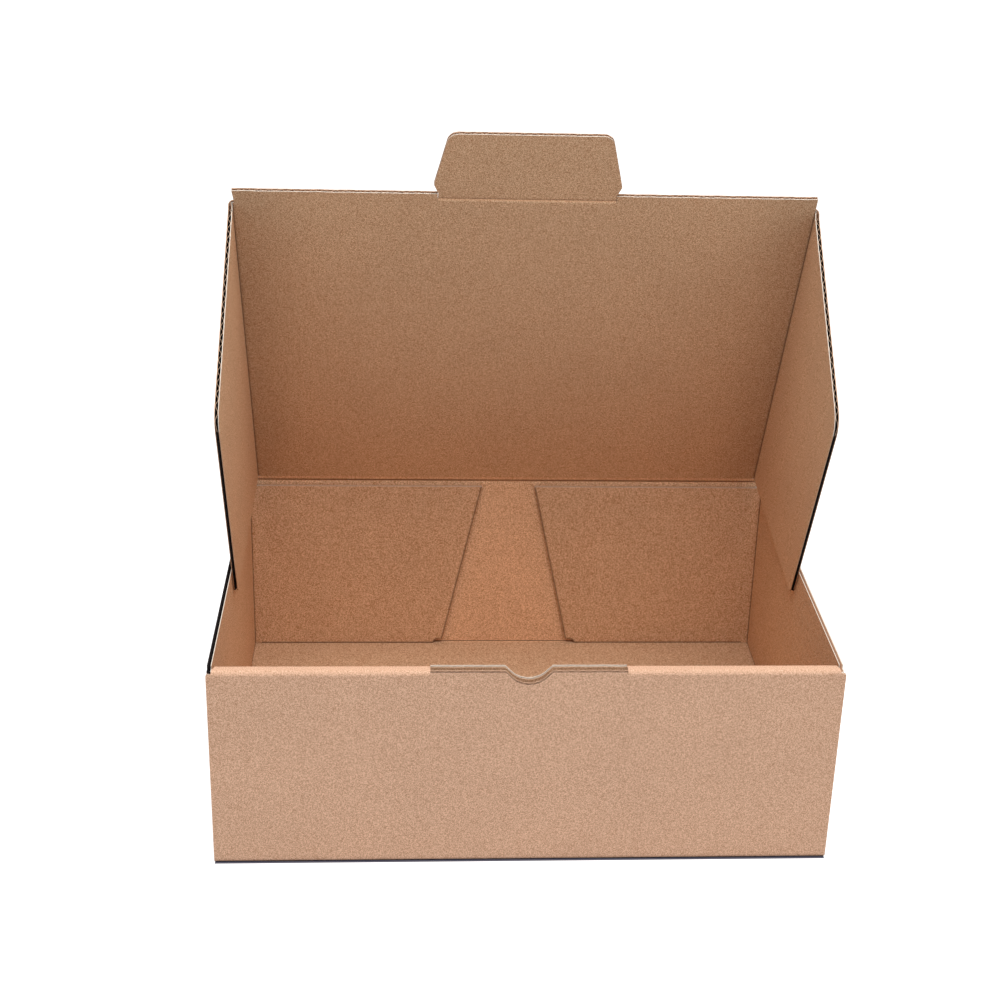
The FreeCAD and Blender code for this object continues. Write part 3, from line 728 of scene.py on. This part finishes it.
# Lid, with its flaps and tab. Places are across the lid, forward from the hinge and over
# the lid's middle, then turned up by the lid's angle about the hinge.
lid = {
    "length": 2 * halfDepth - half,
    "sheetHalf": 172.8,  # half width where the side creases take over
    "fixed": 160.0,  # half width that keeps its places when the front corners are drawn in
    "shoulder": 0.15,
    "play": 3.5,
    "flapFront": 251.7,
    "flapRear": 4.8,
    "creaseEnd": 4.5,  # where the hinge's crease ends
    "hingeRadius": 2.5,
    "hingeShade": (1.2, 0.9),  # middle past the fold, and reach
    "tabCut": 53.3,
    "tabCreaseStart": 254.0,
    "edgePaintedShade": -0.18,  # painted shade beside and on the side creases
    "edgeReach": 26.0,
    # Painted light on the hinge's crease
    "hingePaintedLight": 0.2,
}
flap = {
    "start": 2.5,  # where the crease ends
    "depth": 124.5,
    "tipCut": 0.01,  # keeps the two outlines apart at the tip
    "samePlace": 1e-6,  # outline points that go down the flap by less than this are left out
    "splay": math.radians(1.4),
    "nose": 2.5,
    "frontSlant": 51.4,
    "rearSlant": 31.4,
    "frontRadius": 16.0,
    "rearRadius": 4.0,
    "creaseReach": 1.3,
}
tab = {
    "start": 3.0,  # where the crease ends
    "root": 53.0,
    "rootHeight": 4.5,
    "ear": 55.7,
    "earHeight": 11.0,
    "earRadius": 1.5,
    "earCut": 0.02,  # keeps the ear's two outlines apart at its point
    "top": 47.2,
    "topRadius": 7.0,
    "height": 48.5,
    "creaseShade": (1.0, 0.6),  # middle past the fold, and reach
    # Painted highlight at the crease: middle past the fold, and reach
    "creaseTone": (-0.2, 0.8),
    # Strength of both the painted crease shade and the painted highlight
    "creaseDepth": 0.5,
}
flapCreaseX = wallX - half - lid["play"] - board["thickness"]
tabCreaseAt = lid["length"] - 1.5 * board["thickness"] - board["slip"]


def lidPlace(x, u, d):
    # y is the hinge's, less u times the cosine and plus d times the sine of the lid's angle,
    # and z is the hinge's, plus u times the sine and d times the cosine
    cosine, sine = math.cos(lidAngle), math.sin(lidAngle)
    y = hingeSpot[1] - u * cosine + d * sine
    z = hingeSpot[2] + u * sine + d * cosine
    return np.stack([x + u * 0, y, z], -1)


def pressed(s, middle, d):  # board crushed along a crease: the height shrinks as a bell curve
    return d * (1 - board["pressDepth"] * np.exp(-((s - middle) / board["pressReach"]) ** 2))


def addLid(sheets):  # in three boards, the middle one ending at the tab's crease
    fixed = lid["fixed"]
    shoulderAt = [lid["flapFront"] - lid["shoulder"], lid["flapFront"]]

    def place(a, s, d):  # on the lid, drawn in past the flaps' front end
        edge = np.interp(s, shoulderAt, [lid["sheetHalf"], flapCreaseX])
        return lidPlace(pulledIn(a, fixed, lid["sheetHalf"], edge), s, d)

    def frontEdge(a):  # level, but ragged since it is a function
        return a * 0 + lid["length"]

    def tone(wide, along):  # painted shade: a bell curve beside each side crease
        return lid["edgePaintedShade"] * np.exp(-((lid["sheetHalf"] - np.abs(wide)) / lid["edgeReach"]) ** 2)

    rows = np.unique([*np.linspace(lid["creaseEnd"], shoulderAt[0], 9), shoulderAt[1], lid["length"]])
    rows = (rows - rows[0]) / (rows[-1] - rows[0])
    for low, high in ((-lid["sheetHalf"], -lid["tabCut"]), (lid["tabCut"], lid["sheetHalf"])):
        addBoard(sheets, place, (low, high), lid["creaseEnd"], frontEdge, rows, (-fixed, fixed), paintedLightAndShadeOf=tone)
    addBoard(sheets, place, (-lid["tabCut"], lid["tabCut"]), lid["creaseEnd"],
             lid["tabCreaseStart"], np.linspace(0, 1, 7))


def flapPlace(side):  # the place function of a flap of the lid
    cosine, sine = math.cos(flap["splay"]), math.sin(flap["splay"])

    def place(a, s, d):
        # a is the way down from the crease, which leans out by the splay, and s the way
        # forward from the hinge. The board lies outside the crease by half its thickness.
        lift = half + d
        return lidPlace(side * (flapCreaseX + a * sine + lift * cosine), s, -half - a * cosine + lift * sine)
    return place


def addFlap(sheets, side):  # its flutes run from the hinge forward
    depth = flap["depth"]
    front, rear = lid["flapFront"] - flap["nose"], lid["flapRear"]
    frontCorner = (depth, front - flap["frontSlant"])
    rearCorner = (depth, rear + flap["rearSlant"])
    frontLine = roundedOutline([(0, front), frontCorner, (depth, 0)], [flap["frontRadius"]])
    rearLine = roundedOutline([(0, rear), rearCorner, (depth, front)], [flap["rearRadius"]])

    def edgeOf(line):  # straight between the outline's points, where they still go down the flap
        keep = np.concatenate([[True], np.diff(line[0]) > flap["samePlace"]])
        return lambda a: np.interp(a, line[0][keep], line[1][keep])

    dense = np.concatenate([frontLine[0], rearLine[0]])
    # The flaps' rear cut edges, the medium's lower edge and the flute insides get the near-black shade paper,
    # painted shade; the liners' lower edges are raw paper
    darkLow = lightInner.copy()
    darkLow[:, 0] = shadePaper
    darkLow[:, 1] = rawPaper, rawPaper, shadePaper
    across = (flap["start"], depth - flap["tipCut"])
    addBoard(sheets, flapPlace(side), across, edgeOf(rearLine), edgeOf(frontLine),
             np.linspace(0, 1, 8), dense, phase=0.3, inside=shadePaper, cuts=darkLow)


def addTab(sheets):  # between its roots in one board, and the two ears beside them
    def place(a, s, d):  # on the lid's plane, past the tab's crease
        return lidPlace(a, tabCreaseAt + s, d)

    wide, along = roundedOutline([
        (tab["root"], tab["rootHeight"]),
        (tab["ear"], tab["earHeight"]),
        (tab["top"], tab["height"]),
        (0, tab["height"]),
    ], [tab["earRadius"], tab["topRadius"]])
    widest = int(np.argmax(wide))
    reach = wide[widest] - tab["earCut"]
    over = slice(widest, None)
    dense = np.concatenate([wide, -wide])
    rows = np.linspace(0, 1, 4)

    def topOf(a):  # the outline from the ear's point to the middle, on both sides
        return np.interp(np.abs(a), wide[over][::-1], along[over][::-1])

    def lowOf(a):  # the outline from the root to the ear's point
        return np.interp(np.abs(a), wide[:widest + 1], along[:widest + 1])

    addBoard(sheets, place, (-tab["root"], tab["root"]), tab["start"], topOf, rows, dense)
    for side in (-1, 1):
        ends = sorted([side * tab["root"], side * reach])
        addBoard(sheets, place, ends, lowOf, topOf, rows, dense)


# Creases at the moving joints. Each function gives the crease's start and end in metres.
def addHingeCrease(sheets):
    rise = hingeSpot[2] - tray["creaseStart"]
    ahead = lidPlace(0.0, lid["creaseEnd"], 0.0)
    strip = foldedPath([(hingeSpot[1], tray["creaseStart"]), tuple(hingeSpot[1:]), tuple(ahead[1:])],
                       radius=lid["hingeRadius"], straightStep=board["edgeStep"])
    past, reach = lid["hingeShade"]

    def place(a, s, d):  # a across, and s along the path in y and z, pressed at the hinge
        y, z = onPath(strip, s, pressed(s, rise, d))
        return np.stack([a, y, z], -1)

    # Painted shade along the fold, and painted light on the whole strip
    addBoard(sheets, place, (-tray["creaseHalf"], tray["creaseHalf"]), 0.0, strip["knots"][-1],
             shares(strip), creaseOf=creaseLine(rise + past, reach), outerShade=board["creaseOutside"],
             paintedLightAndShadeOf=evenly(lid["hingePaintedLight"]))
    return (0, hingeSpot[1] * mm, tray["creaseStart"] * mm), tuple(ahead * mm)


def addFlapCrease(sheets, side):
    below = flapPlace(side)(flap["start"], 0.0, 0.0)
    away = below - hingeSpot
    drop = away[1] * math.sin(lidAngle) + away[2] * math.cos(lidAngle)
    strip = foldedPath([(lid["sheetHalf"], 0.0), (flapCreaseX + half, 0.0), (abs(below[0]), drop)],
                       straightStep=board["edgeStep"])
    turn = strip["turns"].mean()

    def place(a, s, d):  # a along the path over the lid's edge, pressed at its turn
        x, z = onPath(strip, a, -pressed(a, turn, d))
        return lidPlace(side * x, s, z)

    end = strip["knots"][-1]
    slope = flap["frontSlant"] / flap["depth"] * flap["start"]
    fronts = [lid["flapFront"], lid["flapFront"] - flap["nose"] - slope]

    def frontEdge(a):  # level up to the fold, then slanting back to the flap's front edge
        return np.interp(a, [turn, end], fronts)

    # Painted shade along the fold, and painted shade on the whole strip
    addBoard(sheets, place, (0.0, end), lid["flapRear"], frontEdge, np.linspace(0, 1, 5), strip["knots"],
             creaseOf=creaseLine(turn, flap["creaseReach"], acrossPath=True),
             outerShade=board["creaseOutside"], paintedLightAndShadeOf=evenly(lid["edgePaintedShade"]))
    begin = lidPlace(side * lid["sheetHalf"], 0.0, 0.0)
    return tuple(begin * mm), tuple(below * mm)


def addTabCrease(sheets):
    first, last = lid["tabCreaseStart"], tabCreaseAt + tab["start"]
    depth = tab["creaseDepth"]
    shadePast, shadeReach = tab["creaseShade"]
    tonePast, toneReach = tab["creaseTone"]

    def place(a, s, d):  # on the lid, narrowing from the cut in it to the tab's root
        x = a * np.interp(s, [first, last], [lid["tabCut"], tab["root"]]) / lid["tabCut"]
        return lidPlace(x, s, pressed(s, tabCreaseAt, d))

    # Painted shade past the crease, and a painted highlight just before it
    addBoard(sheets, place, (-lid["tabCut"], lid["tabCut"]), first, last, np.linspace(0, 1, 13),
             creaseOf=creaseLine(tabCreaseAt + shadePast, shadeReach, depth=depth),
             outerShade=board["creaseOutside"],
             paintedLightAndShadeOf=creaseLine(tabCreaseAt + tonePast, toneReach, depth=depth))
    return [tuple(lidPlace(0.0, u, 0.0) * mm) for u in (first, last)]


lidBoard = Sheets()
addLid(lidBoard)
lidPiece = lidBoard.finish("lidBoard")
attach(lidPiece, "lid")
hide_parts("lid")

tabBoard = Sheets()
addTab(tabBoard)
tabPiece = tabBoard.finish("tabBoard")
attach(tabPiece, "tuck_tab")
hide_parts("tuck_tab")

for side, body, tag in ((-1, "lid_flap_left", "Left"), (1, "lid_flap_right", "Right")):
    flapBoard = Sheets()
    addFlap(flapBoard, side)
    flapPiece = flapBoard.finish("flapBoard" + tag)
    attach(flapPiece, body)
    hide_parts(body)
    flapCrease = Sheets()
    begin, finishAt = addFlapCrease(flapCrease, side)
    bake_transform(flapCrease.finish("flapCrease" + tag))

hingeCrease = Sheets()
begin, finishAt = addHingeCrease(hingeCrease)
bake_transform(hingeCrease.finish("hingeCrease"))

tabCrease = Sheets()
begin, finishAt = addTabCrease(tabCrease)
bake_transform(tabCrease.finish("tabCrease"))
print("board folded")


# Floor, lamps and camera
studio = {
    "floorHalf": 8.0,  # metres
    "floorColor": (0.60, 0.60, 0.60),
    "floorRoughness": 0.9,
    "floorGlow": 0.80,  # plain white the camera sees over the lit floor
    # Painted contact shadow: a dark line on the floor round the box's foot
    "contactShadowColor": (0.12, 0.12, 0.16),
    "contactShadowReach": 1.3,  # width of the painted contact shadow before the box's foot
    "contactShadowCore": 0.6,  # share of it that is fully dark
    "worldStrength": 0.42,
    "lamps": [  # name, watts, size and place in metres
        ("topLamp", 50.0, 1.6, (0.1, -0.6, 2.4)),
        ("rightLamp", 3.9, 1.4, (2.2, -1.0, 1.4)),
    ],
    "lampTarget": (0, 0, 0.15),
}
camera = {
    "place": (-67.26, -987.81, 637.51),
    "turn": 4.057,  # degrees to the right, then down, then counterclockwise
    "tilt": 23.667,
    "roll": 1.965,
    "lens": 62.70,
    "sensor": 36,
    "shift": (-0.0257, -0.0391),
}
white = (1, 1, 1, 1)


def plainRay(tree):  # 1 for what the camera sees, straight or in a mirror or glass
    rays = addNode(tree, "ShaderNodeLightPath")
    seen = rays.outputs["Is Camera Ray"]
    for name in ("Is Glossy Ray", "Is Transmission Ray"):
        either = addNode(tree, "ShaderNodeMath", operation="MAXIMUM")
        tree.links.new(seen, either.inputs[0])
        tree.links.new(rays.outputs[name], either.inputs[1])
        seen = either.outputs["Value"]
    return seen


def awayFromFoot(tree):
    # 0 at the box's foot and 1 past the painted contact shadow. It is the larger of |x| less the half
    # width plus the line's reach, and |y| less the half depth, run from 0 to 1 over the
    # line's outer part.
    link = tree.links.new
    place = addNode(tree, "ShaderNodeTexCoord")
    split = addNode(tree, "ShaderNodeSeparateXYZ")
    link(place.outputs["Object"], split.inputs["Vector"])
    away = addNode(tree, "ShaderNodeMath", operation="MAXIMUM")
    for index, (axis, reach) in enumerate((("X", halfWidth - studio["contactShadowReach"]), ("Y", halfDepth))):
        size = addNode(tree, "ShaderNodeMath", operation="ABSOLUTE")
        over = addNode(tree, "ShaderNodeMath", {1: reach * mm}, operation="SUBTRACT")
        link(split.outputs[axis], size.inputs[0])
        link(size.outputs["Value"], over.inputs[0])
        link(over.outputs["Value"], away.inputs[index])
    line = addNode(tree, "ShaderNodeMapRange", {
        "From Min": studio["contactShadowCore"] * studio["contactShadowReach"] * mm,
        "From Max": studio["contactShadowReach"] * mm,
    })
    link(away.outputs["Value"], line.inputs["Value"])
    return line.outputs["Result"]


def makeFloor():  # matte, with a painted contact shadow at the box's foot, and white added to what the camera sees past it
    size = studio["floorHalf"]
    corners = [(-size, -size, 0), (size, -size, 0), (size, size, 0), (-size, size, 0)]
    mesh = bpy.data.meshes.new("floor")
    mesh.from_pydata(corners, [], [(0, 1, 2, 3)])
    floor = bpy.data.objects.new("floor", mesh)
    bpy.context.scene.collection.objects.link(floor)
    material, tree, shader = newMaterial("paleFloor", studio["floorRoughness"], 0.0)
    link = tree.links.new
    away = awayFromFoot(tree)
    color = mixColors(tree, away, (*studio["contactShadowColor"], 1), (*studio["floorColor"], 1))
    link(color, shader.inputs["Base Color"])
    glow = addNode(tree, "ShaderNodeMath", {1: studio["floorGlow"]}, operation="MULTIPLY")
    link(plainRay(tree), glow.inputs[0])
    shown = addNode(tree, "ShaderNodeMath", operation="MULTIPLY")
    link(glow.outputs["Value"], shown.inputs[0])
    link(away, shown.inputs[1])
    shader.inputs["Emission Color"].default_value = white
    link(shown.outputs["Value"], shader.inputs["Emission Strength"])
    mesh.materials.append(material)


def makeWorld():  # soft light all round, plain white where the camera sees it
    world = bpy.data.worlds.new("studio")
    bpy.context.scene.world = world
    world.use_nodes = True
    tree = world.node_tree
    link = tree.links.new
    soft = tree.nodes["Background"]
    soft.inputs["Color"].default_value = white
    soft.inputs["Strength"].default_value = studio["worldStrength"]
    seen = addNode(tree, "ShaderNodeBackground", {"Color": white, "Strength": 1.0})
    mix = addNode(tree, "ShaderNodeMixShader")
    link(plainRay(tree), mix.inputs["Fac"])
    link(soft.outputs["Background"], mix.inputs[1])
    link(seen.outputs["Background"], mix.inputs[2])
    link(mix.outputs["Shader"], tree.nodes["World Output"].inputs["Surface"])


def makeLamp(name, energy, size, place):
    lamp = bpy.data.lights.new(name, "AREA")
    lamp.energy = energy
    lamp.shape = "DISK"
    lamp.size = size
    item = bpy.data.objects.new(name, lamp)
    item.location = place
    item.rotation_euler = (Vector(studio["lampTarget"]) - Vector(place)).to_track_quat("-Z", "Y").to_euler()
    bpy.context.scene.collection.objects.link(item)


def makeCamera():  # turned, tilted and rolled, with its own axes worked out as vectors
    turn, tilt, roll = (math.radians(camera[key]) for key in ("turn", "tilt", "roll"))
    forward = Vector((math.sin(turn) * math.cos(tilt), math.cos(turn) * math.cos(tilt), -math.sin(tilt)))
    level = Vector((math.cos(turn), -math.sin(turn), 0))
    right = level * math.cos(roll) + level.cross(forward) * math.sin(roll)
    up = right.cross(forward)
    data = bpy.data.cameras.new("camera")
    data.sensor_width = camera["sensor"]
    data.lens = camera["lens"]
    data.shift_x, data.shift_y = camera["shift"]
    item = bpy.data.objects.new("camera", data)
    turned = Matrix((right, up, -forward)).transposed().to_4x4()
    item.matrix_world = Matrix.Translation(Vector(camera["place"]) * mm) @ turned
    bpy.context.scene.collection.objects.link(item)
    bpy.context.scene.camera = item


makeFloor()
makeWorld()
for name, energy, size, place in studio["lamps"]:
    makeLamp(name, energy, size, place)
makeCamera()
bpy.context.scene.view_settings.view_transform = "Standard"
print("studio set")
